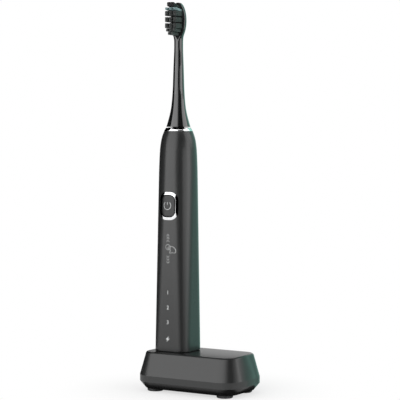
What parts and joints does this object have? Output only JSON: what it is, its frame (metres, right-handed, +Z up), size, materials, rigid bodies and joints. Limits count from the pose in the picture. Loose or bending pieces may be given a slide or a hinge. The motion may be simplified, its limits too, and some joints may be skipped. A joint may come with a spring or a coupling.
{
  "type": "electric toothbrush on charger",
  "caption": "Sonic toothbrush with a push-on brush head, standing over the post of its low induction charging base.",
  "frame": {"origin": "on the table under the middle of the charging base", "axes": "+Z up along the brush, -Y the front with the button and bristles, X along the base with the brush at its -X end"},
  "size_m": [0.082, 0.049, 0.2756],
  "materials": {
    "handle_plastic": "fine matt soft-touch moulding, dark grey",
    "base_plastic": "fine matt moulding, dark grey",
    "button_plastic": "matt, near black",
    "inner_plastic": "plain white moulding",
    "gloss_black": "polished black moulding",
    "chrome": "bright plated",
    "nylon": "black nylon filament",
    "rubber": "black elastomer",
    "steel": "turned or pressed steel",
    "cell": "wrapped lithium cell, mass like aluminium",
    "copper": "enamelled copper winding",
    "bronze": "sintered bronze",
    "ferrite": "sintered ferrite",
    "board": "solder-masked glass-fibre board",
    "clear": "frosted clear acrylic"
  },
  "bodies": {
    "charger": {"base_tray": "base_plastic", "base_housing": "base_plastic", "ballast_plate": "steel", "base_screws": "steel", "rubber_feet": "rubber", "charger_pcb": "board", "usb_shell": "steel", "usb_tongue": "inner_plastic", "transmitter_core": "ferrite", "transmitter_bobbin": "inner_plastic", "transmitter_coil": "copper"},
    "handle": {"handle_shell": "handle_plastic", "bottom_cap": "handle_plastic", "cap_seal": "rubber", "receiver_bobbin": "inner_plastic", "receiver_coil": "copper", "inner_chassis": "inner_plastic", "battery_cell": "cell", "battery_tabs": "steel", "main_pcb": "board", "led_chips": "clear", "light_guide": "clear", "motor_can": "steel", "motor_end_plates": "steel", "shaft_bushes": "bronze", "stator_core": "steel", "stator_coils": "copper", "motor_screws": "steel", "nose_hub": "inner_plastic", "nose_seal": "rubber", "shaft_seal": "rubber", "chrome_collar": "chrome", "button_bezel": "chrome", "button_gasket": "rubber", "tact_switch": "board"},
    "button": {"power_button": "button_plastic", "switch_plunger": "button_plastic"},
    "shaft": {"drive_shaft": "steel", "rotor_yoke": "steel", "rotor_magnets": "steel", "return_spring": "steel"},
    "brush_head": {"brush_neck": "gloss_black", "neck_insert": "inner_plastic", "shaft_clip": "steel", "tip_bristles": "nylon", "field_bristles": "nylon", "heel_bristles": "nylon"}
  },
  "joints": [
    {"name": "handle_lift", "type": "slide", "parent": "charger", "child": "handle", "axis": [0, 0, 1], "range_m": [0, 0.05]},
    {"name": "button_press", "type": "slide", "parent": "handle", "child": "button", "axis": [0, 1, 0], "range_m": [0, 0.0005], "stiffness_N_per_m": 1500, "springref_m": -0.0003},
    {"name": "shaft_swing", "type": "hinge", "parent": "handle", "child": "shaft", "pos_m": [-0.0182, 0, 0.14], "axis": [0, 0, 1], "range_deg": [-4, 4], "stiffness_Nm_per_rad": 0.03},
    {"name": "brush_pull", "type": "slide", "parent": "shaft", "child": "brush_head", "axis": [0, 0, 1], "range_m": [0, 0.03]}
  ]
}
